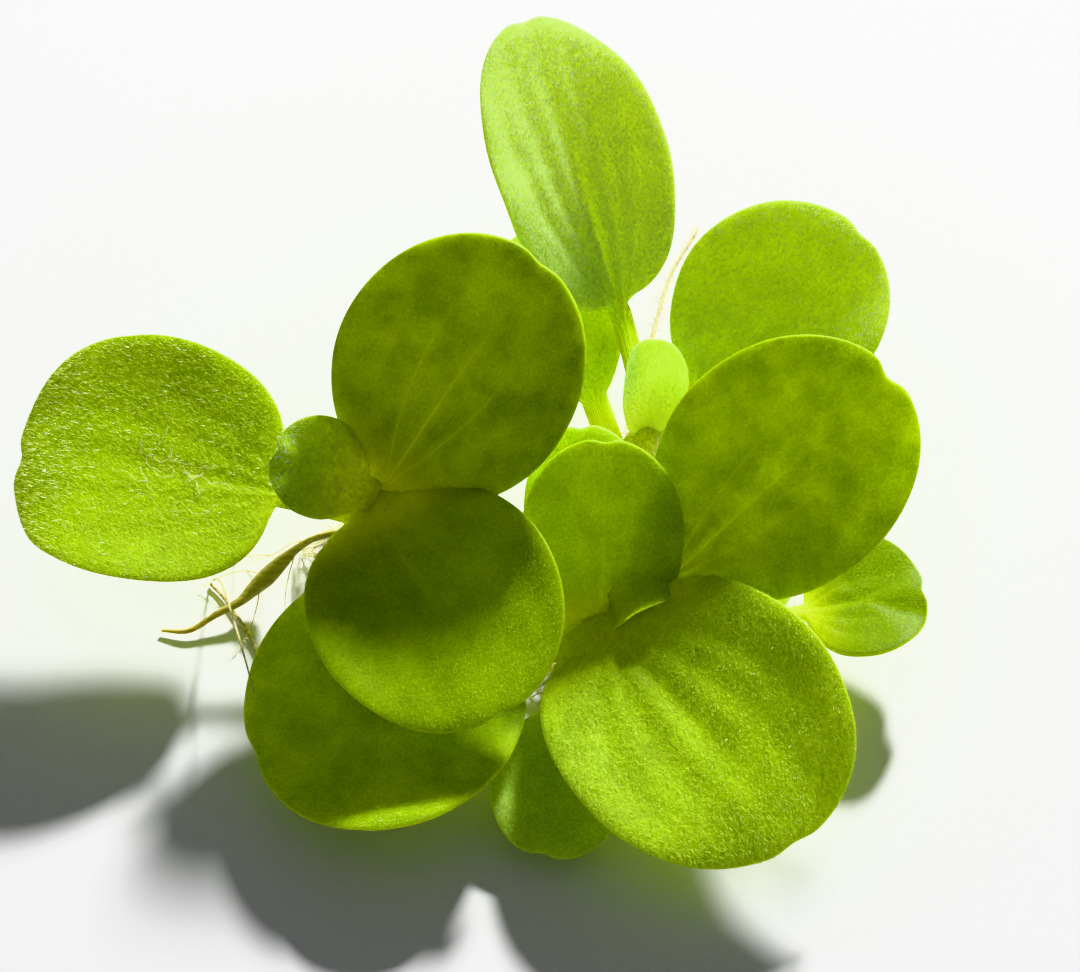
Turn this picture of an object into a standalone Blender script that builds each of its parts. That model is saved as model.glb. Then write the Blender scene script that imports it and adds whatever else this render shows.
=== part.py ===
"""Water lettuce: four small rosettes joined by runners, resting on their matted roots.

Metres, +Z up. The origin is the centre of the flat underside of the front rosette's root mat,
+X is to the right and +Y to the back.
"""
import math

import bmesh
import bpy
import numpy as np
from mathutils import Matrix, Vector

MM = 0.001
SMOOTH_ANGLE = 50

# Rosettes, in millimetres: where each crown stands, how wide it is and how high it reaches
CROWNS = {
    "left": dict(x=-28.0, y=14.9, radius=2.6, foot=10.0, top=16.0),
    "front": dict(x=0.0, y=0.0, radius=2.8, foot=5.2, top=10.8),
    "back": dict(x=6.2, y=31.1, radius=2.6, foot=5.2, top=10.5),
    "right": dict(x=21.2, y=4.6, radius=1.7, foot=4.0, top=7.6),
}

CROWN_TAPER = 0.62
CROWN_SIDES = 14

# Root mats, in millimetres: how far the matted roots spread on the surface and how thick they lie
ROOT_MATS = {
    "left": dict(spread=10.5, thickness=9.7, lobes=7, turn=10),
    "front": dict(spread=9.0, thickness=4.9, lobes=6, turn=40),
    "back": dict(spread=9.0, thickness=4.9, lobes=7, turn=0),
    "right": dict(spread=5.5, thickness=3.7, lobes=5, turn=25),
}
# Rings of a mat from the surface up: its share of the spread and of the thickness
MAT_RINGS = ((1.0, 0.0), (1.0, 0.16), (0.72, 0.42), (0.38, 0.85), (0.3, 1.0))
MAT_SIDES_PER_LOBE = 4
MAT_LOBE_DEPTH = 0.11
MAT_SWELL_DEPTH = 0.08
MAT_SWELLS = 3

# Strands, in millimetres: points along the middle and how thick the strand is at each
STRANDS = {
    "runner_left": dict(kind="runner", sides=8, route=(
        (-2.9, 1.7, 6.3, 1.6), (-8, 5.5, 5.6, 1.5), (-15, 9.8, 6.0, 1.4), (-20.5, 12.6, 9.0, 1.5),
        (-24.8, 14.2, 11.4, 1.6))),
    "runner_back": dict(kind="runner", sides=8, route=(
        (1.8, 2.7, 6.0, 1.6), (3.6, 8, 5.4, 1.5), (4.4, 16, 5.0, 1.4), (5.0, 23, 5.6, 1.5),
        (5.7, 28.0, 6.6, 1.6))),
    "runner_right": dict(kind="runner", sides=8, route=(
        (3.2, 0.2, 6.0, 1.4), (8, 0.8, 4.8, 1.2), (14, 2.8, 4.8, 1.2), (19.1, 4.8, 5.4, 1.3))),
    "old_runner": dict(kind="withered", sides=8, route=(
        (-30.7, 13.2, 11.2, 1.3), (-34.0, 13.9, 10.2, 1.2), (-37.6, 14.0, 7.2, 1.4),
        (-41.2, 12.3, 4.0, 3.4), (-44.4, 9.6, 2.6, 1.8), (-47.4, 8.0, 1.9, 1.2),
        (-50.6, 6.3, 1.0, 1.0), (-54.0, 6.6, 0.6, 0.7))),
    "long_root_left": dict(kind="root", sides=6, route=(
        (-48.6, 14.0, 0.45, 0.5), (-46.6, 11.6, 0.45, 0.6), (-43.4, 6.4, 0.45, 0.7),
        (-41.4, 2.4, 0.45, 0.6), (-39.6, -2.0, 0.45, 0.5))),
    "long_root_back": dict(kind="root", sides=6, route=(
        (6.6, 40.95, 0.6, 0.8), (7.0, 47, 0.5, 0.8), (8.0, 55, 0.5, 0.7), (9.4, 62, 0.5, 0.6),
        (11.6, 70, 0.45, 0.5), (15.4, 78, 0.45, 0.4))),
}
STRAND_STEPS = 3

# Leaf grids: rows along a leaf, the share of them on its stalk, and columns across
LEAF_ROWS = 8
STALK_ROWS = 0.25
LEAF_COLUMNS = 10
SPINE_STEPS = 60
# A leaf shorter than this, in millimetres, is a young one
YOUNG_LENGTH = 12

# Leaf form: how the rows close up towards the stalk, how late the blade droops and its tip arches,
# pleats across it, the share of its width that the notch at the tip takes, and how soon both start
ROW_EASE = 1.5
DROOP_EASE = 1.3
ARCH_EASE = 1.3
PLEATS = 5
PLEAT_START = 3
NOTCH_WIDTH = 0.12
NOTCH_EASE = 8

# What a leaf has unless its own line says otherwise, in millimetres and degrees
LEAF_DEFAULTS = dict(
    seat=None,
    reach=3.2,
    height=8.5,
    roll=0.0,
    cup=20.0,
    stalk=2.0,
    neck=3.6,
    fan=0.52,
    crest=0.5,
    square=2.0,
    notch=0.5,
    thick=1.8,
    edge=0.7,
    pleat=0.22,
)

# Every leaf: heading is its compass angle (0 is +X, 90 is +Y), rise its pitch at the stalk and
# droop the pitch that it has lost by its tip; seat is the side of the crown that it grows from,
# neck and stalk the width and length of its narrow part, and cup how far each half curls up
LEAVES = {
    "left_leaf_outer": dict(
        crown="left", heading=171.5, rise=11, droop=12, roll=-12, length=41.6, width=34, height=13.5,
        reach=2.6, stalk=9, notch=1.1),
    "left_leaf_small": dict(
        crown="left", heading=172, rise=35, droop=10, roll=-25, length=13, width=13, height=17.3,
        reach=0.0, stalk=1.0, thick=1.2),
    "left_leaf_upright": dict(
        crown="left", heading=37, rise=52, droop=15, roll=27, length=35, width=30.5, height=16.0,
        reach=3.0),
    "left_leaf_front": dict(
        crown="left", heading=-62, rise=3, droop=10, roll=12, length=33, width=30, height=15.7,
        reach=2.4, stalk=1.0, fan=0.45),
    "front_leaf_upright": dict(
        crown="front", heading=88, rise=43, droop=5, length=21.5, width=19.5, height=11.7,
        reach=0.0, neck=5, fan=0.6, thick=1.4, cup=-12),
    "front_leaf_behind": dict(
        crown="front", heading=96, rise=43, droop=5, length=23.4, width=16, height=7.5, reach=3.5),
    "front_leaf_right": dict(
        crown="front", heading=31.5, rise=37, droop=10, roll=22, length=44.5, width=29.5, height=8,
        stalk=10, notch=1.0),
    "front_leaf_large": dict(
        crown="front", heading=-53, rise=2, droop=14, roll=17, length=34.5, width=34, height=10,
        reach=2.4, neck=5, fan=0.45),
    "front_leaf_small": dict(
        crown="front", heading=-104, rise=-4, droop=4, length=25.5, width=17, height=5.8, stalk=6),
    "front_leaf_left": dict(
        crown="front", heading=201, rise=-1, droop=6, roll=-3, length=40.8, width=36, height=8.6,
        reach=2.9, stalk=8),
    "front_leaf_bud": dict(
        crown="front", heading=12, rise=18, droop=10, length=6.6, width=5, seat=-50, reach=2.2,
        height=12.2, cup=90, neck=1.6, stalk=0.6, thick=0.8, edge=0.4),
    "right_leaf_outer": dict(
        crown="right", heading=4, rise=16, droop=8, length=16.8, width=19, height=6.0, reach=2.0,
        neck=2.5),
    "right_leaf_bud": dict(
        crown="right", heading=40, rise=55, droop=10, length=4.5, width=3.4, seat=-110, reach=1.3,
        height=8.3, cup=80, neck=1.4, stalk=0.6, thick=0.7, edge=0.4),
    "back_leaf_tall": dict(
        crown="back", heading=118, rise=58, droop=16, length=53, width=23.5, height=9, stalk=16,
        seat=85, reach=3.4, neck=3.0),
    "back_leaf_cupped": dict(
        crown="back", heading=33, rise=38, droop=10, roll=20, length=36, width=27.5, height=8,
        reach=2.9, stalk=7),
    "back_leaf_young": dict(
        crown="back", heading=93, rise=68, droop=5, length=11, width=8, reach=0.6, height=11.3,
        cup=60, neck=1.8, stalk=0.6, thick=0.8, edge=0.4),
    "back_leaf_left": dict(
        crown="back", heading=117, rise=41, droop=8, length=30, width=17, height=8, seat=195,
        reach=4.3, stalk=7, fan=1.1),
}


def clear_scene():
    for item in list(bpy.data.objects):
        bpy.data.objects.remove(item, do_unlink=True)


def plain_material(name, colour, roughness):
    material = bpy.data.materials.new(name)
    material.use_nodes = True
    shader = material.node_tree.nodes["Principled BSDF"]
    shader.inputs["Base Color"].default_value = (*colour, 1.0)
    shader.inputs["Roughness"].default_value = roughness
    shader.inputs["Metallic"].default_value = 0.0
    material.diffuse_color = (*colour, 1.0)
    return material


def finish_object(name, mesh_builder, material):
    """Turn a bmesh into a named object whose place is in its mesh."""
    mesh = bpy.data.meshes.new(name)
    mesh_builder.to_mesh(mesh)
    mesh_builder.free()
    mesh.shade_smooth()
    mesh.set_sharp_from_angle(angle=math.radians(SMOOTH_ANGLE))
    mesh.materials.append(material)
    item = bpy.data.objects.new(name, mesh)
    bpy.context.scene.collection.objects.link(item)
    return item


def full_leaf(own):
    """A leaf's own values over the default ones, with its seat on the crown filled in."""
    leaf = {**LEAF_DEFAULTS, **own}
    if leaf["seat"] is None:
        leaf["seat"] = leaf["heading"]
    return leaf


def leaf_spine(leaf):
    """Points and frames along the middle of a leaf: place, forward, leftward and upward axes."""
    crown = CROWNS[leaf["crown"]]
    seat = math.radians(leaf["seat"])
    course = math.radians(leaf["heading"])
    roll = math.radians(leaf["roll"])
    level = np.array([-math.sin(course), math.cos(course), 0.0])
    place = np.array([
        crown["x"] + leaf["reach"] * math.cos(seat),
        crown["y"] + leaf["reach"] * math.sin(seat),
        leaf["height"],
    ])
    spine = []
    for step in range(SPINE_STEPS + 1):
        along = step / SPINE_STEPS
        pitch = math.radians(leaf["rise"] - leaf["droop"] * along ** DROOP_EASE)
        forward = np.array([
            math.cos(pitch) * math.cos(course),
            math.cos(pitch) * math.sin(course),
            math.sin(pitch),
        ])
        upright = np.cross(forward, level)
        leftward = level * math.cos(roll) + upright * math.sin(roll)
        upward = upright * math.cos(roll) - level * math.sin(roll)
        spine.append((place, forward, leftward, upward))
        place = place + forward * leaf["length"] / SPINE_STEPS
    return spine


def leaf_outline(leaf, along, across):
    """Where a point lies on the flattened leaf: distance from the base and from the midrib."""
    neck = leaf["neck"] / 2
    if along <= STALK_ROWS:
        return leaf["stalk"] * along / STALK_ROWS, across * neck
    reach = ((along - STALK_ROWS) / (1 - STALK_ROWS)) ** ROW_EASE
    swell = math.sin(math.pi / 2 * reach ** leaf["fan"])
    side = across * (neck + (leaf["width"] / 2 - neck) * swell)
    arch = 1 - math.sqrt(max(0.0, 1 - abs(across) ** leaf["square"]))
    ahead = (leaf["length"] - leaf["stalk"]) * (reach - leaf["crest"] * arch * reach ** ARCH_EASE)
    notch = leaf["notch"] * math.exp(-(across / NOTCH_WIDTH) ** 2) * reach ** NOTCH_EASE
    return leaf["stalk"] + ahead - notch, side


def leaf_point(leaf, spine, along, across, side_of_leaf):
    """A point of the bent leaf; side_of_leaf is 1 on the upper face and 0 on the underside."""
    ahead, side = leaf_outline(leaf, along, across)
    step = min(max(ahead / leaf["length"], 0.0), 1.0) * (len(spine) - 1)
    lower = min(int(step), len(spine) - 2)
    part = step - lower
    place, forward, leftward, upward = [
        first * (1 - part) + second * part
        for first, second in zip(spine[lower], spine[lower + 1])
    ]
    curl = math.radians(leaf["cup"]) / (leaf["width"] / 2)
    lift = (1 - math.cos(curl * side)) / curl
    side = math.sin(curl * side) / curl
    body = leaf["edge"] + (leaf["thick"] - leaf["edge"]) * (1 - along) ** 1.5 * (1 - across ** 2)
    fold = math.degrees(math.asin(max(-1.0, min(1.0, across)))) / 90
    pleat = leaf["pleat"] * math.cos(math.pi * PLEATS * fold) * (1 - abs(across) ** 3)
    lift += pleat * min(1.0, PLEAT_START * along) * (1 - along ** 4)
    lift += body * (side_of_leaf - 0.5)
    return Vector(place + leftward * side + upward * lift) * MM


def leaf_blade(name, own, material):
    """A flat slab in leaf coordinates, bent into the leaf."""
    leaf = full_leaf(own)
    spine = leaf_spine(leaf)
    slab = bmesh.new()
    bmesh.ops.create_grid(slab, x_segments=LEAF_ROWS, y_segments=LEAF_COLUMNS, size=1.0)
    grown = bmesh.ops.extrude_face_region(slab, geom=slab.faces[:], use_keep_orig=True)
    raised = [part for part in grown["geom"] if isinstance(part, bmesh.types.BMVert)]
    bmesh.ops.translate(slab, verts=raised, vec=(0, 0, 1))
    bmesh.ops.recalc_face_normals(slab, faces=slab.faces)
    for corner in slab.verts:
        along = (corner.co.x + 1) / 2
        across = math.sin(corner.co.y * math.pi / 2)
        corner.co = leaf_point(leaf, spine, along, across, corner.co.z)
    return finish_object(name, slab, material)


def crown_stem(name, crown, material):
    """The short stem that a rosette's leaves grow from."""
    depth = crown["top"] - crown["foot"]
    stem = bmesh.new()
    bmesh.ops.create_cone(
        stem, cap_ends=True, segments=CROWN_SIDES, radius1=crown["radius"] * MM,
        radius2=crown["radius"] * CROWN_TAPER * MM, depth=depth * MM,
        matrix=Matrix.Translation((crown["x"] * MM, crown["y"] * MM, (crown["foot"] + depth / 2) * MM)))
    return finish_object(name, stem, material)


def root_mat(name, crown, mat, material):
    """Matted roots, pressed flat by the rosette's weight."""
    segments = mat["lobes"] * MAT_SIDES_PER_LOBE
    pad = bmesh.new()
    loops = []
    for reach, rise in MAT_RINGS:
        loop = []
        for step in range(segments):
            turn = 2 * math.pi * step / segments
            lobe = MAT_LOBE_DEPTH * math.cos(mat["lobes"] * turn)
            swell = MAT_SWELL_DEPTH * math.cos(MAT_SWELLS * turn + mat["lobes"])
            radius = mat["spread"] * reach * (1 + (lobe + swell) * reach)
            angle = turn + math.radians(mat["turn"])
            loop.append(pad.verts.new((
                (crown["x"] + radius * math.cos(angle)) * MM,
                (crown["y"] + radius * math.sin(angle)) * MM,
                mat["thickness"] * rise * MM,
            )))
        edges = [pad.edges.new((loop[i], loop[(i + 1) % segments])) for i in range(segments)]
        loops.append(edges)
    for below, above in zip(loops, loops[1:]):
        bmesh.ops.bridge_loops(pad, edges=below + above)
    bmesh.ops.contextual_create(pad, geom=loops[0])
    bmesh.ops.contextual_create(pad, geom=loops[-1])
    bmesh.ops.recalc_face_normals(pad, faces=pad.faces)
    return finish_object(name, pad, material)


def strand(name, route, sides, material):
    """A runner or root: a smooth line through its points, with a round section that varies."""
    points = [np.array(point, dtype=float) for point in route]
    guides = [2 * points[0] - points[1], *points, 2 * points[-1] - points[-2]]
    smooth = []
    for before, start, end, after in zip(guides, guides[1:], guides[2:], guides[3:]):
        for step in range(STRAND_STEPS):
            t = step / STRAND_STEPS
            smooth.append(0.5 * (
                2 * start + (end - before) * t + (2 * before - 5 * start + 4 * end - after) * t ** 2
                + (3 * start - before - 3 * end + after) * t ** 3))
    smooth.append(points[-1])
    curve = bpy.data.curves.new(name, "CURVE")
    curve.dimensions = "3D"
    curve.bevel_depth = MM / 2
    curve.bevel_resolution = sides // 2 - 2
    curve.use_fill_caps = True
    spline = curve.splines.new("POLY")
    spline.points.add(len(smooth) - 1)
    for point, (x, y, z, thickness) in zip(spline.points, smooth):
        point.co = (x * MM, y * MM, z * MM, 1.0)
        point.radius = thickness
    curve.materials.append(material)
    item = bpy.data.objects.new(name, curve)
    bpy.context.scene.collection.objects.link(item)
    return item


def main():
    clear_scene()
    leaf_green = plain_material("leaf_green", (0.10, 0.28, 0.01), 0.6)
    young_green = plain_material("young_green", (0.32, 0.69, 0.07), 0.6)
    crown_yellow = plain_material("crown_yellow", (0.42, 0.45, 0.05), 0.5)
    runner_green = plain_material("runner_green", (0.35, 0.40, 0.08), 0.5)
    withered_brown = plain_material("withered_brown", (0.21, 0.18, 0.05), 0.7)
    root_straw = plain_material("root_straw", (0.35, 0.30, 0.16), 0.8)
    strand_materials = {"runner": runner_green, "withered": withered_brown, "root": root_straw}
    for place, crown in CROWNS.items():
        root_mat("root_mat_" + place, crown, ROOT_MATS[place], root_straw)
        crown_stem("crown_" + place, crown, crown_yellow)
    for name, own in STRANDS.items():
        strand(name, own["route"], own["sides"], strand_materials[own["kind"]])
    for name, own in LEAVES.items():
        leaf_blade(name, own, young_green if own["length"] < YOUNG_LENGTH else leaf_green)


main()
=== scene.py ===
# %% [markdown]
# # Water lettuce
# Water lettuce floats on still water as rosettes of soft, velvety leaves. A mother rosette sends out short
# runners, and each runner ends in a daughter. This lesson dresses a small clump of four rosettes that has
# been picked and set down on its matted roots.
#
# The plain solids of the clump come first, as a fixed frame in metres with Z up. Everything made below is
# placed in that frame, so nothing has to be fitted afterwards.

# %% Load the frame
import math
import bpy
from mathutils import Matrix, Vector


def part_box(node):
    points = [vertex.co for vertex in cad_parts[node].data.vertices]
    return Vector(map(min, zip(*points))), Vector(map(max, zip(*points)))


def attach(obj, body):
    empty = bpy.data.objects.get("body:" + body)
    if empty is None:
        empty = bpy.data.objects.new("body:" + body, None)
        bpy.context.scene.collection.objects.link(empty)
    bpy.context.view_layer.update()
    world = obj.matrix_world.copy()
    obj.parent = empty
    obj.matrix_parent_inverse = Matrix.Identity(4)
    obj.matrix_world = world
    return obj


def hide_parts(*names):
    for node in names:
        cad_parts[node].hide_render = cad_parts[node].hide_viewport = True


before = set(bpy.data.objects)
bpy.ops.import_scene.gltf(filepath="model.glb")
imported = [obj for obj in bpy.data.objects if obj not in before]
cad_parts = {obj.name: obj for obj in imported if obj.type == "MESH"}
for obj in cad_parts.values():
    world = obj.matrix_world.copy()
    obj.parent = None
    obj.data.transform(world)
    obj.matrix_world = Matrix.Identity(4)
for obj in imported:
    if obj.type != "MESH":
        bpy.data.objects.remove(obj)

from types import SimpleNamespace as Plan

import bmesh
import bpy
import numpy as np
from mathutils import Matrix, Vector

scene = bpy.context.scene
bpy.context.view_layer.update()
print("solids in the frame:", len(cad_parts))

# %% [markdown]
# ## Units, colours and nodes
# The plan of a plant this small is easiest to read in millimetres, so lengths stay in millimetres until a
# point is written into a mesh. Colours are given as web colours. Those are sRGB, and a renderer
# works in linear light, so one function turns a hex value to linear. Another small function adds a shader
# node with its settings and its links. Four more build on it for the nodes that come up most, a sum, a
# range, a mix of colours and a noise, so each material is short enough to read in one go.

# %% Units, colours and nodes
MM = 0.001
SRGB_KNEE = 0.04045


def linear(hex_colour):
    """A web colour such as 7cc400 as linear red, green, blue and alpha."""
    shares = [int(hex_colour[i:i + 2], 16) / 255 for i in (0, 2, 4)]
    bent = [s / 12.92 if s <= SRGB_KNEE else ((s + 0.055) / 1.055) ** 2.4 for s in shares]
    return (*bent, 1.0)


def add_node(tree, kind, values=None, **settings):
    """Add a node: settings are its options, values its inputs as numbers, hex colours or other outputs."""
    node = tree.nodes.new("ShaderNode" + kind)
    for key, value in settings.items():
        setattr(node, key, value)
    for key, value in (values or {}).items():
        if isinstance(value, bpy.types.NodeSocket):
            tree.links.new(value, node.inputs[key])
        else:
            node.inputs[key].default_value = linear(value) if isinstance(value, str) else value
    return node


def computed(tree, operation, *values):
    """One sum on numbers or on other nodes' outputs, such as MULTIPLY."""
    return add_node(tree, "Math", dict(enumerate(values)), operation=operation).outputs[0]


def ranged(tree, value, low, high, start=0.0, end=1.0):
    """A value's way from low to high, as a number from start to end."""
    return add_node(tree, "MapRange", {0: value, 1: low, 2: high, 3: start, 4: end}).outputs[0]


def mixed(tree, share, first, second, blend="MIX"):
    """Two colours mixed: a share of 0 gives the first and 1 the second."""
    return add_node(
        tree, "Mix", {0: share, 6: first, 7: second}, data_type="RGBA",
        blend_type=blend).outputs[2]


def noise(tree, place, size_mm, **inputs):
    """Soft chance spots of about this size, from 0 to 1."""
    node = add_node(tree, "TexNoise", {"Vector": place, "Scale": 1 / (size_mm * MM), **inputs})
    return node.outputs["Fac"]


def new_material(name):
    """An empty node material with only its output."""
    material = bpy.data.materials.new(name)
    material.use_nodes = True
    material.node_tree.nodes.clear()
    output = add_node(material.node_tree, "OutputMaterial")
    return material, material.node_tree, output.inputs["Surface"]


print("leaf green in linear light:", [round(c, 3) for c in linear("7cc400")])

# %% [markdown]
# ## Meshes and objects
# Every shape below is sketched as a bmesh, bent as rows of numbers, or grown by a modifier or a bevel, and
# ends as a plain mesh. These few tools do the steps that all of them share.

# %% Meshes and objects
def rows_of(items, key, width=3, kind=float):
    """One row of numbers for each item of a mesh."""
    rows = np.zeros(len(items) * width, dtype=kind)
    items.foreach_get(key, rows)
    return rows.reshape(-1, width)


def unit(rows):
    """Each row as a direction of length one."""
    return rows / np.linalg.norm(rows, axis=1)[:, None]


def from_sketch(name, sketch):
    """A mesh of a bmesh, which is let go."""
    mesh = bpy.data.meshes.new(name)
    sketch.to_mesh(mesh)
    sketch.free()
    return mesh


def show(name, data):
    """An object with this mesh, curve, light or camera, put into the scene."""
    item = bpy.data.objects.new(name, data)
    scene.collection.objects.link(item)
    return item


def from_object(item):
    """A mesh of an object with its modifiers or its bevel applied. The object goes."""
    mesh = bpy.data.meshes.new_from_object(item.evaluated_get(bpy.context.evaluated_depsgraph_get()))
    bpy.data.objects.remove(item)
    return mesh


print("a direction of length one:", unit(np.array([[0.0, 3.0, 4.0]]))[0])

# %% [markdown]
# ## The plan of the rosettes
# Each rosette has a crown, the very short stem that its leaves grow from. The crown stands on its mat of
# roots, so one small table says where every crown is, how wide it is, and how far its roots spread.

# %% Crowns and root mats, in millimetres
CROWNS = {
    "left": Plan(x=-28.0, y=14.9, radius=2.6, foot=10.0, top=16.0, spread=10.5),
    "front": Plan(x=0.0, y=0.0, radius=2.8, foot=5.2, top=10.8, spread=9.0),
    "back": Plan(x=6.2, y=31.1, radius=2.6, foot=5.2, top=10.5, spread=9.0),
    "right": Plan(x=21.2, y=4.6, radius=1.7, foot=4.0, top=7.6, spread=5.5),
}
print("rosettes:", ", ".join(CROWNS))

# %% [markdown]
# ## The plan of the leaves
# A leaf of this plant is a round, spongy blade on hardly any stalk. It could be sculpted, or cut from a
# picture, but a plan in a few named sizes says what a gardener would: which way the leaf points, how
# steeply it rises, how far it droops and its tip dips, how it leans, and how long and wide it is. The same
# formula then bends every leaf, so a change to one size never breaks the mesh.
#
# `furrow` is how deep the grooves over the veins are, `hairs` how many hairs grow on a square millimetre,
# and `hair` and `strand` how long and thick they are. `tint` moves a leaf from full green, 0, to the paler
# mint of young leaves, 1, or to a deeper green, -1, which is partly the riper green of old leaves and
# partly painted shade on leaves that lie in shadow. `veined` is how clear its veins show, and also how
# strong its cloudy mottle is, which is partly painted uneven shade on leaves that lie against the light.

# %% The leaves, in millimetres and degrees
USUAL = dict(
    reach=3.2, height=8.5, dip=0.0, roll=0.0, cup=20.0, stalk=2.0, neck=3.6, fan=0.52, crest=0.5,
    square=2.0, notch=0.5, thick=1.5, edge=0.5, furrow=0.3, ripple=0.3, hairs=10.0, hair=0.45,
    strand=0.055, tint=0.3, veined=0.5, rows=84, columns=96, frosted=False, slot="leaf",
)


def leaf_plan(crown, heading, rise, droop, length, width, **unusual):
    """All sizes of a leaf: its own over the usual ones. It sits on the crown's side that it points to."""
    own = dict(
        crown=crown, heading=heading, seat=heading, rise=rise, droop=droop, length=length, width=width)
    return Plan(**{**USUAL, **own, **unusual})


LEAVES = {
    # crown, heading, rise, droop, length, width, and then what is unusual
    "left_leaf_outer": leaf_plan(
        "left", 171.5, 11, 7, 42.6, 34, dip=44, roll=-12, height=13.5, reach=2.6, stalk=9, fan=0.38,
        notch=1.1, furrow=0.4, hairs=12, hair=0.7, strand=0.07, tint=-0.35, veined=0.1),
    "left_leaf_small": leaf_plan(
        "left", 172, 35, 10, 12.4, 13, roll=-25, height=17.3, reach=0.5, stalk=1.0, neck=4.5, thick=1.1,
        furrow=0.15, hairs=11, hair=0.7, strand=0.08, tint=-0.2, veined=0.0, rows=56, columns=64,
        frosted=True),
    "left_leaf_upright": leaf_plan(
        "left", 37, 52, 15, 35, 30.5, roll=27, height=16.0, reach=2.2, neck=7, edge=1.1, furrow=0.3,
        hairs=8, hair=0.4, tint=-0.2, veined=0.9),
    "left_leaf_front": leaf_plan(
        "left", -62, 3, 10, 34, 30, roll=12, height=15.7, reach=1.4, stalk=1.0, neck=8, fan=0.45,
        hairs=9, hair=0.45, tint=-0.35, veined=0.2),
    "front_leaf_upright": leaf_plan(
        "front", 88, 51, 5, 23.6, 19.5, height=9.6, reach=-0.6, neck=9, stalk=0.8, fan=0.42, thick=1.3,
        cup=-12, furrow=0.22, hairs=10, tint=0.15, veined=0.4, rows=64, columns=76),
    "front_leaf_behind": leaf_plan(
        "front", 96, 43, 5, 23.4, 16, height=7.5, reach=3.5, tint=0.4, rows=56, columns=64),
    "front_leaf_right": leaf_plan(
        "front", 31.5, 37, 10, 44.5, 29.5, roll=22, height=8, stalk=10, notch=1.0, furrow=0.45, hairs=6,
        hair=0.4, tint=-0.1, veined=0.8),
    "front_leaf_large": leaf_plan(
        "front", -53, 2, 12, 36.2, 34, dip=24, roll=13, height=11.2, reach=0.4, stalk=1.0, neck=11,
        fan=0.42, furrow=0.6, hairs=17, hair=0.65, strand=0.075, tint=0.1, veined=0.1),
    "front_leaf_small": leaf_plan(
        "front", -104, -4, 4, 25.5, 17, height=5.8, stalk=6, tint=0.5, rows=60, columns=64),
    "front_leaf_left": leaf_plan(
        "front", 201, -1, 6, 40.8, 36, roll=-3, height=8.6, reach=2.9, stalk=8, hairs=7, tint=0.05),
    "front_leaf_bud": leaf_plan(
        "front", 16, 52, 60, 9.0, 6.4, roll=6, seat=5, reach=0.8, height=11.0, cup=75, neck=1.6,
        stalk=0.4, thick=0.7, edge=0.3, furrow=0.05, ripple=0.1, notch=0.1, hairs=22, hair=0.5,
        veined=0.0, rows=32, columns=36, slot="young_leaf"),
    "right_leaf_outer": leaf_plan(
        "right", 4, 16, 8, 16.8, 19, height=6.0, reach=2.0, neck=2.5, furrow=0.25, tint=-0.9,
        veined=0.2, rows=60, columns=68),
    "right_leaf_bud": leaf_plan(
        "right", 40, 55, 10, 4.6, 3.4, seat=-110, reach=0.6, height=7.6, cup=80, neck=1.4, stalk=0.6,
        thick=0.6, edge=0.3, furrow=0.03, ripple=0.05, notch=0.1, hairs=45, hair=0.36, tint=0.7,
        rows=28, columns=30, frosted=True, slot="young_leaf"),
    "back_leaf_tall": leaf_plan(
        "back", 118, 60, 23, 53.2, 25, roll=7, height=9, stalk=16, seat=85, reach=3.4, neck=3.0,
        fan=0.4, furrow=0.9, hairs=13, hair=0.6, strand=0.065, tint=0.75, veined=0.1, frosted=True),
    "back_leaf_cupped": leaf_plan(
        "back", 33, 38, 10, 36, 27.5, roll=20, height=8, reach=2.9, stalk=7, furrow=0.25, hairs=13,
        hair=0.6, strand=0.065, tint=0.25, veined=0.2, frosted=True),
    "back_leaf_young": leaf_plan(
        "back", 80, 64, 5, 11.4, 10.4, roll=24, reach=0.6, height=11.0, cup=62, stalk=0.4, thick=0.8,
        edge=0.35, furrow=0.05, ripple=0.1, notch=0.1, hairs=45, hair=0.3, tint=1.0, veined=0.0,
        rows=44, columns=48, frosted=True, slot="young_leaf"),
    "back_leaf_left": leaf_plan(
        "back", 117, 41, 8, 30, 17, height=8, seat=195, reach=4.3, stalk=7, fan=0.75, hairs=14,
        tint=0.4, veined=0.1, rows=64, columns=60),
}
print("leaves:", len(LEAVES))

# %% [markdown]
# ## The line along the middle of a leaf
# Every leaf bends along its midrib. Sixty short steps from the crown to the tip give a place and three
# directions at each: forward along the midrib, leftward across the blade and upward out of it.

# %% The midrib
SPINE_STEPS = 60
DROOP_EASE = 1.3
DIP_FROM = 0.72


def leaf_spine(leaf):
    """Places and directions along a midrib, as arrays with one row a step."""
    crown = CROWNS[leaf.crown]
    seat = math.radians(leaf.seat)
    course = math.radians(leaf.heading)
    roll = math.radians(leaf.roll)
    along = np.linspace(0.0, 1.0, SPINE_STEPS + 1)
    dip = leaf.dip * np.clip((along - DIP_FROM) / (1 - DIP_FROM), 0.0, 1.0)
    pitch = np.radians(leaf.rise - leaf.droop * along ** DROOP_EASE - dip)
    forward = np.stack([
        np.cos(pitch) * math.cos(course), np.cos(pitch) * math.sin(course), np.sin(pitch)], axis=1)
    level = np.array([-math.sin(course), math.cos(course), 0.0])
    upright = np.cross(forward, level)
    leftward = level * math.cos(roll) + upright * math.sin(roll)
    upward = upright * math.cos(roll) - level * math.sin(roll)
    start = np.array([
        crown.x + leaf.reach * math.cos(seat),
        crown.y + leaf.reach * math.sin(seat),
        leaf.height,
    ])
    steps = forward[:-1] * leaf.length / SPINE_STEPS
    place = start + np.concatenate([np.zeros((1, 3)), np.cumsum(steps, axis=0)])
    return dict(place=place, forward=forward, leftward=leftward, upward=upward)


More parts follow.
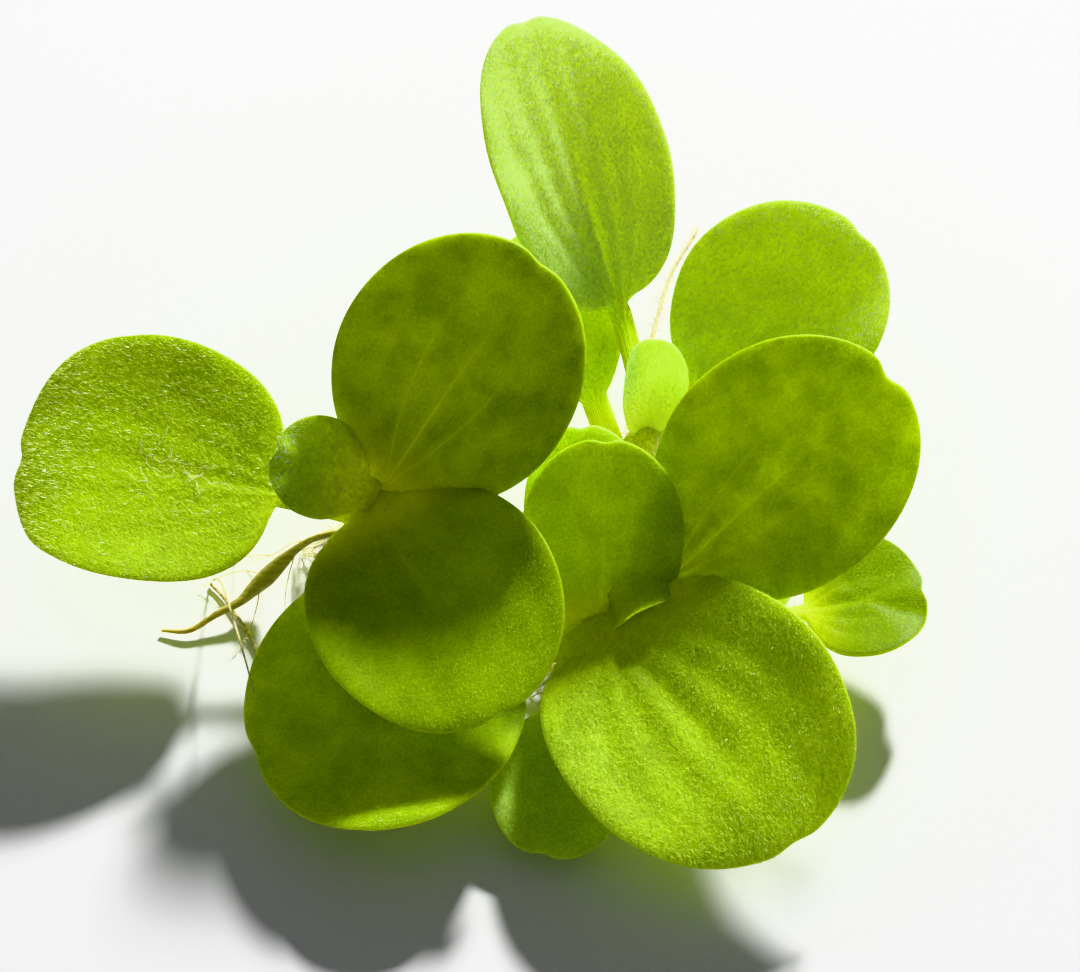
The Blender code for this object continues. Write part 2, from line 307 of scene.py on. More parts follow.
def on_spine(leaf, values, ahead):
    """Values of the midrib at distances ahead of its start."""
    at = np.clip(ahead / leaf.length, 0.0, 1.0) * SPINE_STEPS
    return np.stack([np.interp(at, range(SPINE_STEPS + 1), values[:, i]) for i in range(3)], axis=1)


tallest = LEAVES["back_leaf_tall"]
print("the tallest midrib ends at (mm):", leaf_spine(tallest)["place"][-1].round(1))

# %% [markdown]
# ## The outline of a blade
# Unrolled and pressed flat, a blade is a narrow stalk that swells into a round blade with a small notch at
# its tip. Two shares place any point on it: `along` runs from the stalk to the tip and `across` from the
# right margin, -1, to the left one, 1. The outline comes from two soft curves and a rounded end, so it has
# no corner anywhere.

# %% The flat outline
STALK_ROWS = 0.25
ROW_EASE = 1.5
ARCH_EASE = 1.3
NOTCH_WIDTH = 0.12
NOTCH_EASE = 8


def leaf_outline(leaf, along, across):
    """Distances from the start of the stalk and from the midrib, in millimetres."""
    neck = leaf.neck / 2
    reach = np.clip((along - STALK_ROWS) / (1 - STALK_ROWS), 0.0, 1.0) ** ROW_EASE
    swell = np.sin(math.pi / 2 * reach ** leaf.fan)
    side = across * (neck + (leaf.width / 2 - neck) * swell)
    arch = 1 - np.sqrt(np.clip(1 - np.abs(across) ** leaf.square, 0.0, 1.0))
    ahead = (leaf.length - leaf.stalk) * (reach - leaf.crest * arch * reach ** ARCH_EASE)
    ahead += leaf.stalk * np.clip(along / STALK_ROWS, 0.0, 1.0)
    notch = leaf.notch * np.exp(-(across / NOTCH_WIDTH) ** 2) * reach ** NOTCH_EASE
    return ahead - notch, side


def margin_line(leaf, steps=160):
    """Points along the left margin from the stalk to the tip, as distances ahead and aside."""
    up = np.linspace(0.0, 1.0, steps)
    over = np.sin(np.linspace(1.0, 0.0, steps) * math.pi / 2)
    sides = [leaf_outline(leaf, up, np.ones(steps)), leaf_outline(leaf, np.ones(steps), over)]
    return np.concatenate([s[0] for s in sides]), np.concatenate([s[1] for s in sides])


def distance_to_margin(leaf, ahead, side):
    """How far each point of the flat blade is from the nearest margin, in millimetres."""
    line = np.stack(margin_line(leaf), axis=1)
    starts = line[:-1]
    runs = line[1:] - starts
    lengths = np.maximum((runs ** 2).sum(axis=1), 1e-9)
    nearest = np.full(len(ahead), np.inf)
    points = np.stack([ahead, np.abs(side)], axis=1)
    for start, run, length in zip(starts, runs, lengths):
        share = np.clip((points - start) @ run / length, 0.0, 1.0)
        away = points - start - share[:, None] * run
        nearest = np.minimum(nearest, (away ** 2).sum(axis=1))
    return np.sqrt(nearest)


print("the tallest blade's margin is", len(margin_line(tallest)[0]), "points")

# %% [markdown]
# ## Veins, furrows and ripples
# The veins leave the stalk together, bow outwards and meet again near the tip, like the staves of a
# barrel. A vein's place is therefore a share of the way from the midrib to the margin, the same share all
# along. Over each vein the upper face sinks in a soft furrow, and between the veins it swells. Near the
# margin the blade ripples a little, because the rim grows faster than the middle.
#
# All of this is real shape and not a bump map, so the side views and the exported mesh have it too.

# %% Furrows and ripples
VEINS_EACH_SIDE = 3
FURROW_WIDTH = 0.13
FAN_OPEN = 0.6
MOST_SHARE = 1.8
VEINS_START = 0.8
VEINS_TOGETHER = 0.7
FURROW_FROM = 0.22
FURROW_FADE = (0.5, 0.98, 0.85)
SIDE_VEIN = 0.75
VEIN_WEAKER = 0.2
FURROW_SWELL = 0.35
MARGIN_ROLL = 0.22
MARGIN_ROLL_WIDTH = 1.1
RIPPLE_WIDTH = 5.0
RIPPLE_COUNTS = (3, 4, 5, 7)
RIPPLE_SHARE = 0.6
RIPPLE_START = 6.0


def smooth_step(low, high, value):
    share = np.clip((value - low) / (high - low), 0.0, 1.0)
    return share * share * (3 - 2 * share)


def vein_share(leaf, ahead, side):
    """A point's share of the way from the midrib, 0, to the outer veins, -1 and 1, and the half width."""
    open_by = FAN_OPEN * leaf.length
    opening = np.clip((ahead - VEINS_START * leaf.stalk) / open_by, 0.0, 1.0)
    half = np.hypot(leaf.width / 2 * (1 - (1 - opening) ** 2), VEINS_TOGETHER)
    return np.clip(side / half, -MOST_SHARE, MOST_SHARE), half


def furrows(leaf, share, ahead):
    """How far the upper face sinks over the veins, in millimetres."""
    deepest, end, loss = FURROW_FADE
    progress = ahead / leaf.length
    fade = smooth_step(0.0, FURROW_FROM, progress) * (1 - loss * smooth_step(deepest, end, progress))
    sunk = np.zeros(len(share))
    for vein in range(-VEINS_EACH_SIDE + 1, VEINS_EACH_SIDE):
        weight = 1.0 if vein == 0 else SIDE_VEIN - VEIN_WEAKER * abs(vein)
        sunk += weight * np.exp(-((share - vein / VEINS_EACH_SIDE) / FURROW_WIDTH) ** 2)
    return leaf.furrow * fade * (sunk - FURROW_SWELL)


def ripples(leaf, ahead, side, rim, dice):
    """A slow wave that fades inwards from the margin, in millimetres."""
    middle = leaf.stalk + (leaf.length - leaf.stalk) / 2
    turn = np.arctan2(side, ahead - middle)
    wave = sum(
        math.sin(phase) * np.sin(count * turn + phase)
        for count, phase in zip(RIPPLE_COUNTS, dice.uniform(0.5, 2.6, len(RIPPLE_COUNTS))))
    blade = smooth_step(leaf.stalk, leaf.stalk + RIPPLE_START, ahead)
    return leaf.ripple * RIPPLE_SHARE * wave * np.exp(-rim / RIPPLE_WIDTH) * blade


print("veins on a blade:", 2 * VEINS_EACH_SIDE - 1)

# %% [markdown]
# ## A leaf as a mesh
# A leaf could be a sheet with a Solidify modifier, but the real one is thick and spongy at its base and
# thins to a rounded rim, so its two faces are separate surfaces. It starts as a flat grid, extruded once
# into a slab whose normals are put right while it is still a simple box. Then each corner moves to its
# place on the bent leaf. The grid lines crowd towards the margins, where the rim has to turn over neatly.
#
# A map and seven facts are kept on the mesh for the materials. The map has the veins' shares along one side
# and the length along the other. The facts are the distance to the margin, the width, how much of a point
# is stalk, how near it is to the crown, upper face or underside, the tint and how clear the veins are.

# %% The leaf mesh
LAYER_STEP = 1e4
ROW_STEP = 1e3
ROOTED = 1.6
STALK_ROUND = 0.6
RIM_ROUND = 0.45
THINNEST = 0.05
BASE_TUFT = 2.2
FRINGE = 0.8
STALKED = 6.0
STALK_END = (0.55, 1.25, 1.0)
ROOTED_EASE = 2.0
THIN_EASE = 1.6
SINK_BELOW = 0.8
GLOW_REACH = 4.0


def grid_order(place):
    """A number that rises row by row over the slab. Blender's own numbering changes from run to run."""
    return LAYER_STEP * place.z + ROW_STEP * place.x + place.y


def slab_corners(leaf):
    """A flat slab of grid cells as a mesh, with its corners' shares along, across and up."""
    slab = bmesh.new()
    bmesh.ops.create_grid(slab, x_segments=leaf.rows, y_segments=leaf.columns, size=1.0)
    grown = bmesh.ops.extrude_face_region(slab, geom=slab.faces[:], use_keep_orig=True)
    raised = [part for part in grown["geom"] if isinstance(part, bmesh.types.BMVert)]
    bmesh.ops.translate(slab, verts=raised, vec=(0, 0, 1))
    bmesh.ops.recalc_face_normals(slab, faces=slab.faces)
    slab.verts.sort(key=lambda corner: grid_order(corner.co))
    slab.faces.sort(key=lambda face: grid_order(face.calc_center_median()))
    mesh = from_sketch("leaf", slab)
    corners = rows_of(mesh.vertices, "co")
    along = np.sin((corners[:, 0] + 1) / 2 * math.pi / 2)
    across = np.sin(corners[:, 1] * math.pi / 2)
    return mesh, along, across, corners[:, 2]


def leaf_mesh(leaf, dice):
    """The finished mesh of one leaf, and the facts that its hairs are planted by."""
    mesh, along, across, upper = slab_corners(leaf)
    spine = leaf_spine(leaf)
    ahead, side = leaf_outline(leaf, along, across)
    rim = distance_to_margin(leaf, ahead, side)
    share, half = vein_share(leaf, ahead, side)
    last, first, more = STALK_END
    stalk = 1 - smooth_step(last * leaf.stalk, first * leaf.stalk + more, ahead)
    progress = np.clip(ahead / leaf.length, 0.0, 1.0)
    stem = stalk * min(1.0, leaf.stalk / STALKED)
    body = leaf.edge + (leaf.thick - leaf.edge) * (1 - progress) ** THIN_EASE
    body *= 1 - STALK_ROUND * stalk * across ** 2
    turned = 1 - np.clip(rim / RIM_ROUND, 0.0, 1.0)
    thickness = np.maximum(body * np.sqrt(1 - turned ** 2), THINNEST)
    curl = math.radians(leaf.cup) / (leaf.width / 2)
    lift = (1 - np.cos(curl * side)) / curl
    sink = furrows(leaf, share, ahead)
    lift -= sink * np.where(upper > 0.5, 1.0, SINK_BELOW)
    lift += ripples(leaf, ahead, side, rim, dice)
    lift -= MARGIN_ROLL * np.exp(-(rim / MARGIN_ROLL_WIDTH) ** 2) * (1 - stalk)
    lift += thickness * (upper - 0.5)
    rooted = ahead - ROOTED * (1 - smooth_step(0.0, ROOTED_EASE, ahead))
    place = on_spine(leaf, spine["place"], np.maximum(rooted, 0.0))
    place += np.minimum(rooted, 0.0)[:, None] * spine["forward"][0]
    leftward = on_spine(leaf, spine["leftward"], ahead)
    upward = on_spine(leaf, spine["upward"], ahead)
    points = place + leftward * (np.sin(curl * side) / curl)[:, None] + upward * lift[:, None]
    mesh.vertices.foreach_set("co", (points * MM).ravel())
    uv = np.stack([share / 2 + 0.5, progress], axis=1)
    loops = rows_of(mesh.loops, "vertex_index", 1, np.int32)[:, 0]
    mesh.uv_layers.new(name="leaf").data.foreach_set("uv", uv[loops].ravel().astype(np.float32))
    notes = dict(
        rim_mm=rim, spread_mm=2 * half, stalk=stem, glow=np.exp(-(ahead / GLOW_REACH) ** 2), upper=upper,
        tint=leaf.tint, veined=leaf.veined)
    for fact, values in notes.items():
        layer = mesh.attributes.new(fact, "FLOAT", "POINT")
        layer.data.foreach_set("value", np.full(len(along), values, dtype=np.float32))
    mesh.shade_smooth()
    mesh.update()
    facts = dict(
        upper=upper, stalk=stem, forward=on_spine(leaf, spine["forward"], ahead),
        rim=np.exp(-(rim / FRINGE) ** 2),
        base=np.exp(-((ahead - leaf.stalk) / BASE_TUFT) ** 2))
    return mesh, facts


def place_piece(name, mesh, material, slot, *nodes):
    """Show a finished mesh in place of the plain solids named, in the clump's one body."""
    mesh.name = name
    mesh.materials.append(material)
    piece = show(name, mesh)
    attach(piece, "root")
    if nodes:
        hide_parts(*nodes)
    return piece


# %% [markdown]
# ## Leaf tissue
# The blade is spongy living tissue under a thin waxy skin, a few tenths of a millimetre to a millimetre
# and a half thick. Light goes in, scatters and comes out on the other side, so a leaf against the light
# glows yellow-green, its thin margin brightest and its veins as fine pale lines. A flat green paint can't
# do that. A Translucent shader could, but it doesn't know how thick the leaf is, so this material uses
# subsurface scattering, with a path of about a millimetre in green light and far less in blue.
#
# The green itself is broken up in three ways: clouds about 5 mm across, which are partly the leaf's own
# uneven colour and partly painted uneven shade, strongest on the leaves set most veined; a fine grain of
# about 0.3 mm from the cells and the tiny domes that the hairs grow on, drawn a little large so that it
# still shows; and a deeper green on some leaves, partly the riper green of the oldest leaves and partly
# painted shade on leaves that lie in shadow. The margin is mixed a little paler, partly its own colour and
# partly painted glow of the thin rim, and the leaf bases near the crown are mixed bright yellow-green,
# partly their own paler colour and partly painted glow. The table of veins says how many lines lie over a
# blade, how wide each is in mm and how strong, and a span runs from its first two numbers to its last two.
# Burley's scattering is used and not the random walk, because it takes half the time in a slab this thin
# and looks the same.

# %% Leaf tissue material
CLOUD_MM = 5.0
CLOUD_MIDDLE = 0.55
GRAIN_MM = 0.32
DOME_MM = 0.08
STALK_LINES = 26
GLOW_SHARE = 0.85
VEIN_WOBBLE = 0.02
VEIN_LINES = (
    (2 * VEINS_EACH_SIDE, 1.1, 0.4), (2 * VEINS_EACH_SIDE, 0.18, 0.9), (4 * VEINS_EACH_SIDE, 0.1, 0.2))
SPANS = dict(
    cloud=(0.35, 0.68), mottle_and_shade_strength=(0.0, 1.0, 0.35, 1.0), ripeness_and_shade=(0.0, -1.0), grain=(0.3, 0.7, 0.86, 1.12),
    inner=(0.02, 0.35, 1.0, 0.1), lower=(0.15, 0.8, 1.0, 0.05), margin_glow_mm=(0.06, 0.25, 0.3, 0.0),
    underside=(0.2, 0.8, 0.45, 0.0), stripe=(-1.0, 1.0), fibre=(0.35, 0.65))
LEAF_PATH = (1.05, 1.0, 0.06)
TISSUE_IOR = 1.42


def leaf_tissue(name, dark, light, mint, ripe_and_shaded, pale, stem, base, scatter_mm):
    """Spongy leaf tissue: two greens in clouds and a deeper green, partly painted shade; veins; a paler
    margin and leaf base, partly painted glow; underside and stalk.
    """
    material, tree, surface = new_material(name)
    place = add_node(tree, "TexCoord").outputs["Object"]
    chart = add_node(tree, "UVMap", uv_map="leaf").outputs["UV"]
    chart = add_node(tree, "SeparateXYZ", {"Vector": chart}).outputs
    rim, spread, stalk, glow, upper, tint, veined = (
        add_node(tree, "Attribute", attribute_name=fact).outputs["Fac"]
        for fact in ("rim_mm", "spread_mm", "stalk", "glow", "upper", "tint", "veined"))

    # Painted shade, in part: the cloudy mottle is partly the leaf's own uneven colour and partly uneven
    # shade, and it is strongest on the most veined leaves, which lie against the light.
    clouds = noise(tree, place, CLOUD_MM, Detail=2.0, Roughness=0.6)
    centred = computed(tree, "SUBTRACT", ranged(tree, clouds, *SPANS["cloud"]), CLOUD_MIDDLE)
    mottle_and_shade_strength = ranged(tree, veined, *SPANS["mottle_and_shade_strength"])
    cloud = computed(tree, "MULTIPLY_ADD", centred, mottle_and_shade_strength, CLOUD_MIDDLE)
    colour = mixed(tree, cloud, dark, light)
    colour = mixed(tree, tint, colour, mint)
    # Painted shade, in part: a negative tint mixes in a deeper green, partly the riper green of old leaves
    # and partly shade on leaves that lie in shadow.
    colour = mixed(tree, ranged(tree, tint, *SPANS["ripeness_and_shade"]), colour, ripe_and_shaded)

    grains = noise(tree, place, GRAIN_MM, Detail=0.0)
    colour = mixed(tree, 1.0, colour, ranged(tree, grains, *SPANS["grain"]), blend="MULTIPLY")

    wobble = computed(tree, "MULTIPLY_ADD", clouds, VEIN_WOBBLE, chart["X"])
    aside = computed(tree, "ABSOLUTE", computed(tree, "SUBTRACT", chart["X"], 0.5))
    clear = computed(tree, "MULTIPLY", ranged(tree, aside, *SPANS["inner"]), veined)
    lower = ranged(tree, chart["Y"], *SPANS["lower"])
    for count, width, strength in VEIN_LINES:
        away = computed(tree, "MULTIPLY", computed(tree, "PINGPONG", wobble, 0.5 / count), spread)
        line = ranged(tree, away, width / 6, width, strength, 0.0)
        vein = computed(tree, "MULTIPLY", computed(tree, "MULTIPLY", line, lower), clear)
        colour = mixed(tree, vein, colour, pale)
    # Painted glow, in part: the thin margin is mixed paler, partly its own colour and partly the glow of
    # light through the thin rim.
    colour = mixed(tree, ranged(tree, rim, *SPANS["margin_glow_mm"]), colour, pale)
    colour = mixed(tree, ranged(tree, upper, *SPANS["underside"]), colour, pale)

    lines = computed(tree, "SINE", computed(tree, "MULTIPLY", chart["X"], STALK_LINES))
    striped = mixed(tree, ranged(tree, lines, *SPANS["stripe"]), stem, pale)
    colour = mixed(tree, stalk, colour, striped)
    # Painted glow, in part: the leaf bases near the crown are mixed bright yellow-green, partly their own
    # paler colour and partly the glow of light through them.
    colour = mixed(tree, computed(tree, "MULTIPLY", glow, GLOW_SHARE), colour, base)
    domes = add_node(tree, "Bump", {"Height": grains, "Strength": 0.5, "Distance": DOME_MM * MM})
    shader = add_node(tree, "BsdfPrincipled", {
        "Base Color": colour, "Normal": domes.outputs["Normal"], "Roughness": 0.5, "IOR": TISSUE_IOR,
        "Specular IOR Level": 0.1, "Subsurface Weight": 1.0, "Subsurface Scale": scatter_mm * MM,
        "Subsurface Radius": LEAF_PATH}, subsurface_method="BURLEY")
    tree.links.new(shader.outputs["BSDF"], surface)
    return material


leaf_green = leaf_tissue(
    "spongy_leaf", dark="769800", light="a8cc00", mint="bce07c", ripe_and_shaded="567000", pale="cce640",
    stem="a8b420", base="e0f020", scatter_mm=1.9)
leaf_mint = leaf_tissue(
    "spongy_young_leaf", dark="b0e84c", light="c4f268", mint="ccf680", ripe_and_shaded="8cb030", pale="e8fab8",
    stem="c0d850", base="e0f060", scatter_mm=1.6)
print("leaf materials:", leaf_green.name, leaf_mint.name)

# %% [markdown]
# ## Hairs
# Fine white hairs, about half a millimetre long, stand on the blades and keep them dry. They lean towards
# the tip, and each catches the light as a short bright stroke. A real coat is denser and finer than a
# picture can show, so there are fewer hairs here, drawn a little thick. Blender's own hair isn't a mesh, so
# a hair is a closed three-sided spike: one is modelled, an Array modifier repeats it as often as the leaf
# needs, and every copy is then turned and moved to its own spot on the skin. The skin's triangles are
# drawn by chance in proportion to their area, with a fixed seed and in a fixed order, so each run grows the
# same coat.

# %% One spike, many times
HAIR_SIDES = 3
HAIR_SUNK = 0.06
MOST_HAIRS = 46000


def many_spikes(count):
    """A mesh of equal spikes of unit height, one after another."""
    spike = bmesh.new()
    bmesh.ops.create_cone(
        spike, cap_ends=True, segments=HAIR_SIDES, radius1=0.5, radius2=0.0, depth=1.0,
        matrix=Matrix.Translation((0, 0, 0.5)))
    mesh = from_sketch("spike", spike)
    grower = show("spike", mesh)
    rows = grower.modifiers.new("rows", "ARRAY")
    rows.count = count
    rows.use_relative_offset = False
    return from_object(grower), len(mesh.vertices)


def plant(spots, headings, lengths, thickness):
    """A mesh of spikes at these spots and headings, all in millimetres."""
    mesh, corners = many_spikes(len(spots))
    shape = rows_of(mesh.vertices, "co").reshape(len(spots), corners, 3)
    helper = np.where(np.abs(headings[:, 2:]) < 0.9, [[0.0, 0.0, 1.0]], [[1.0, 0.0, 0.0]])
    aside = unit(np.cross(headings, helper))
    beside = np.cross(headings, aside)
    points = (
        spots[:, None]
        + shape[..., :1] * thickness * aside[:, None]
        + shape[..., 1:2] * thickness * beside[:, None]
        + shape[..., 2:] * lengths[:, None, None] * headings[:, None])
    mesh.vertices.foreach_set("co", (points * MM).ravel())
    mesh.update()
    return mesh


def skin_spots(mesh, weight, count, dice):
    """Chance spots on a mesh's triangles by area and weight: places, normals, triangles and shares."""
    mesh.calc_loop_triangles()
    corners = rows_of(mesh.loop_triangles, "vertices", kind=np.int32)
    corners = np.unique(np.sort(corners, axis=1), axis=0)
    places = rows_of(mesh.vertices, "co") / MM
    normals = rows_of(mesh.vertex_normals, "vector")
    first, second, third = (places[corners[:, i]] for i in range(3))
    areas = np.linalg.norm(np.cross(second - first, third - first), axis=1) / 2
    chances = areas * weight[corners].mean(axis=1)
    picked = dice.choice(len(corners), size=count, p=chances / chances.sum())
    shares = dice.dirichlet((1, 1, 1), size=count)
    spots = (places[corners[picked]] * shares[..., None]).sum(axis=1)
    facing = (normals[corners[picked]] * shares[..., None]).sum(axis=1)
    return spots, unit(facing), corners[picked], chances.sum()


print("sides of a hair:", HAIR_SIDES)


# %% [markdown]
# The hair itself is a string of empty, air-filled cells, which scatters light like frosted glass and is
# nearly white. Half of what falls on it goes on through it, so hairs shine most against the light. A short
# clear hair shows the green skin through it, and here that green is painted into the clear kind's colour,
# so its yellow-green is painted light; the frosted kind is for leaves with a white coat. Hairs are shorter
# at the rim, and longer in a tuft where a blade starts.

# %% Leaf hair material
def leaf_hair(name, front_colour, through_colour, gloss):
    """Air-filled hair: half of its light is thrown back and half goes through."""
    material, tree, surface = new_material(name)
    front = add_node(tree, "BsdfPrincipled", {
        "Base Color": front_colour, "Roughness": 0.3, "IOR": 1.45, "Specular IOR Level": gloss})
    behind = add_node(tree, "BsdfTranslucent", {"Color": through_colour})
    both = add_node(tree, "MixShader", {
        0: 0.5, 1: front.outputs["BSDF"], 2: behind.outputs["BSDF"]})
    tree.links.new(both.outputs["Shader"], surface)
    return material


# Painted light: the clear hairs' yellow-green stands in for the green skin seen through them.
clear_hair = leaf_hair("clear_leaf_hair", "e6f27c", "ecf688", gloss=0.6)
frosted_hair = leaf_hair("frosted_leaf_hair", "f4f8e8", "f6fae0", gloss=0.8)

HAIR_LEAN = 0.9
HAIR_STRAY = 0.35
RIM_SHORT = 0.6
TUFT_HAIRS = 160
TUFT_HAIR = 1.0
HAIR_SPREAD = (0.55, 1.35)


def leaf_hairs(leaf, mesh, facts, dice):
    """The coat of one leaf: dense on the upper face and the rim, thin below and on the stalk."""
    weight = (0.12 + 0.88 * facts["upper"]) * (1 - 0.8 * facts["stalk"]) * (1 + facts["rim"])
    area = skin_spots(mesh, weight, 1, np.random.default_rng(0))[3]
    count = min(int(area * leaf.hairs), MOST_HAIRS)
    spots, facing, corners, _ = skin_spots(mesh, weight, count, dice)
    forward = facts["forward"][corners].mean(axis=1)
    heading = unit(facing + HAIR_LEAN * forward + HAIR_STRAY * dice.normal(size=(count, 3)))
    shorter = 1 - RIM_SHORT * facts["rim"][corners].mean(axis=1)
    lengths = leaf.hair * dice.uniform(*HAIR_SPREAD, count) * shorter
    return plant(spots - heading * HAIR_SUNK, heading, lengths, leaf.strand)


def leaf_tuft(leaf, mesh, facts, dice):
    """The longer hairs where a blade starts, which close the gap between it and its neighbour."""
    count = int(TUFT_HAIRS * leaf.neck / USUAL["neck"])
    spots, facing, corners, _ = skin_spots(mesh, facts["base"] * facts["upper"], count, dice)
    heading = unit(facing + HAIR_STRAY * dice.normal(size=(count, 3)))
    lengths = min(TUFT_HAIR, leaf.width / 10) * dice.uniform(*HAIR_SPREAD, count)
    return plant(spots - heading * HAIR_SUNK, heading, lengths, USUAL["strand"])


print("hair materials:", clear_hair.name, frosted_hair.name)

# %% [markdown]
# ## Growing the leaves
# With the plan, the mesh, the tissue and the coat ready, one loop grows all the leaves. Each leaf stands
# in for its plain solid, and its hairs are a piece of their own that rides along.

# %% Grow every leaf
LEAF_SEED = 100
triangles = 0
for number, (name, leaf) in enumerate(LEAVES.items()):
    dice = np.random.default_rng(LEAF_SEED + number)
    mesh, facts = leaf_mesh(leaf, dice)
    hairs = leaf_hairs(leaf, mesh, facts, dice)
    tissue = leaf_mint if leaf.tint > 0.5 and leaf.slot == "young_leaf" else leaf_green
    coat = frosted_hair if leaf.frosted else clear_hair
    place_piece(name + "_blade", mesh, tissue, leaf.slot, name)
    place_piece(name + "_hairs", hairs, coat, leaf.slot)
    place_piece(name + "_tuft", leaf_tuft(leaf, mesh, facts, dice), clear_hair, leaf.slot)
    triangles += 2 * len(mesh.polygons) + len(hairs.polygons)
    low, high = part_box(name)
    corners = rows_of(mesh.vertices, "co")
    out = np.maximum(np.array(low) - corners.min(axis=0), corners.max(axis=0) - np.array(high))
    print(name, len(hairs.polygons) // 4, "hairs, past its solid by (mm):", (out / MM).round(1))
print("triangles in leaves and hairs:", triangles)

# %% [markdown]
# ## Crowns
# A crown is a stem squeezed short: all its leaves sit on a few millimetres, each one wrapping a little
# round the next. Half a profile spun once about the upright axis gives the body. Its corners then swell
# outwards under every leaf seat, so leaf and stem run into each other instead of meeting at a line.

# %% Crown bodies
CROWN_PROFILE = (
    (0.0, 0.0), (0.62, 0.0), (0.92, 0.12), (1.0, 0.38), (0.9, 0.68), (0.66, 0.9), (0.32, 1.02), (0.0, 1.06))
CROWN_STEPS = 48
SEAT_SWELL = 0.22
SEAT_WIDTH = 0.42


def soft_line(points, steps):
    """A smooth line through a few points: each stretch heads between the points around it."""
    points = np.asarray(points, dtype=float)
    points = np.vstack([2 * points[0] - points[1], points, 2 * points[-1] - points[-2]])
    share = np.linspace(0.0, 1.0, steps, endpoint=False)[:, None]
    stretches = [
        b + (c - a) / 2 * share
        + (2 * a - 5 * b + 4 * c - d) / 2 * share ** 2
        + (3 * b - a - 3 * c + d) / 2 * share ** 3
        for a, b, c, d in zip(points, points[1:], points[2:], points[3:])]
    return np.vstack(stretches + [points[-2:-1]])


def crown_mesh(place, crown):
    """The stem of one rosette, swollen under the seat of each of its leaves."""
    height = crown.top - crown.foot
    profile = soft_line(CROWN_PROFILE, 3)
    stem = bmesh.new()
    line = [
        stem.verts.new((max(radius, 0.0) * crown.radius, 0.0, rise * height))
        for radius, rise in profile]
    edges = [stem.edges.new(pair) for pair in zip(line, line[1:])]
    bmesh.ops.spin(
        stem, geom=line + edges, cent=(0, 0, 0), axis=(0, 0, 1), angle=2 * math.pi,
        steps=CROWN_STEPS, use_merge=True)
    bmesh.ops.remove_doubles(stem, verts=stem.verts, dist=0.001)
    bmesh.ops.recalc_face_normals(stem, faces=stem.faces)
    seats = [math.radians(leaf.seat) for leaf in LEAVES.values() if leaf.crown == place]
    for corner in stem.verts:
        turn = math.atan2(corner.co.y, corner.co.x)
        swell = 0.0
        for seat in seats:
            away = math.remainder(turn - seat, 2 * math.pi)
            swell += SEAT_SWELL * math.exp(-(away / SEAT_WIDTH) ** 2)
        middle = math.sin(math.pi * min(max(corner.co.z / height, 0.0), 1.0))
        corner.co.xy *= 1 + min(swell, SEAT_SWELL) * middle
    bmesh.ops.smooth_vert(
        stem, verts=stem.verts, factor=0.4, use_axis_x=True, use_axis_y=True, use_axis_z=True)
    bmesh.ops.translate(stem, verts=stem.verts, vec=(crown.x, crown.y, crown.foot))
    bmesh.ops.scale(stem, verts=stem.verts, vec=(MM, MM, MM))
    mesh = from_sketch("crown", stem)
    mesh.shade_smooth()
    return mesh


# %% [markdown]
# Stem tissue is wetter and clearer than a blade and has hardly any green in it, so it glows a warm
# yellow-green. Its fibres run lengthwise, which shows as faint stripes.

# %% Stem tissue material
FIBRE_MM = 0.35
STEM_PATH = (1.0, 0.9, 0.25)


def stem_tissue(name, dark, light, stretch, scatter_mm, roughness):
    """Juicy or dry stem tissue with fibres drawn out along one axis."""
    material, tree, surface = new_material(name)
    place = add_node(tree, "TexCoord").outputs["Object"]
    drawn = add_node(tree, "Mapping", {"Vector": place, "Scale": stretch}).outputs["Vector"]
    fibres = noise(tree, drawn, FIBRE_MM, Detail=3.0)
    colour = mixed(tree, ranged(tree, fibres, *SPANS["fibre"]), dark, light)
    bumps = add_node(tree, "Bump", {"Height": fibres, "Strength": 0.4, "Distance": DOME_MM * MM})
    shader = add_node(tree, "BsdfPrincipled", {
        "Base Color": colour, "Normal": bumps.outputs["Normal"], "Roughness": roughness,
        "IOR": TISSUE_IOR, "Subsurface Weight": 1.0, "Subsurface Scale": scatter_mm * MM,
        "Subsurface Radius": STEM_PATH})
    tree.links.new(shader.outputs["BSDF"], surface)
    return material


crown_flesh = stem_tissue(
    "juicy_stem", dark="a8b020", light="d8e060", stretch=(1.0, 1.0, 0.2), scatter_mm=1.6, roughness=0.4)
runner_flesh = stem_tissue(
    "juicy_runner", dark="b0b43c", light="dcdc7c", stretch=(0.3, 0.3, 1.0), scatter_mm=1.2,
    roughness=0.35)
dry_runner = stem_tissue(
    "withered_runner", dark="968e4c", light="bcb46c", stretch=(0.1, 0.8, 0.8), scatter_mm=0.9,
    roughness=0.5)

for place, crown in CROWNS.items():
    name = "crown_" + place
    place_piece(name + "_stem", crown_mesh(place, crown), crown_flesh, "crown", name)
print("crowns made:", len(CROWNS))

# %% [markdown]
# ## Runners
# A runner is a smooth, juicy stem that creeps from one crown to the next, a little thicker at its joints.
# A curve with a round bevel is made for this: each point carries its own thickness, and Blender turns the
# curve into a closed tube. Both ends of a runner are carried on into the crowns that they join.

# %% Tubes along lines
def tubes(lines, roundness):
    """A mesh of closed tubes along lines of x, y, z and thickness, all in millimetres."""
    curve = bpy.data.curves.new("tubes", "CURVE")
    curve.dimensions = "3D"
    curve.bevel_depth = MM / 2
    curve.bevel_resolution = roundness
    curve.use_fill_caps = True
    for line in lines:
        spline = curve.splines.new("POLY")
        spline.points.add(len(line) - 1)
        places = np.column_stack([line[:, :3] * MM, np.ones(len(line))])
        spline.points.foreach_set("co", places.ravel())
        spline.points.foreach_set("radius", line[:, 3])
    mesh = from_object(show("tubes", curve))
    mesh.shade_smooth()
    return mesh


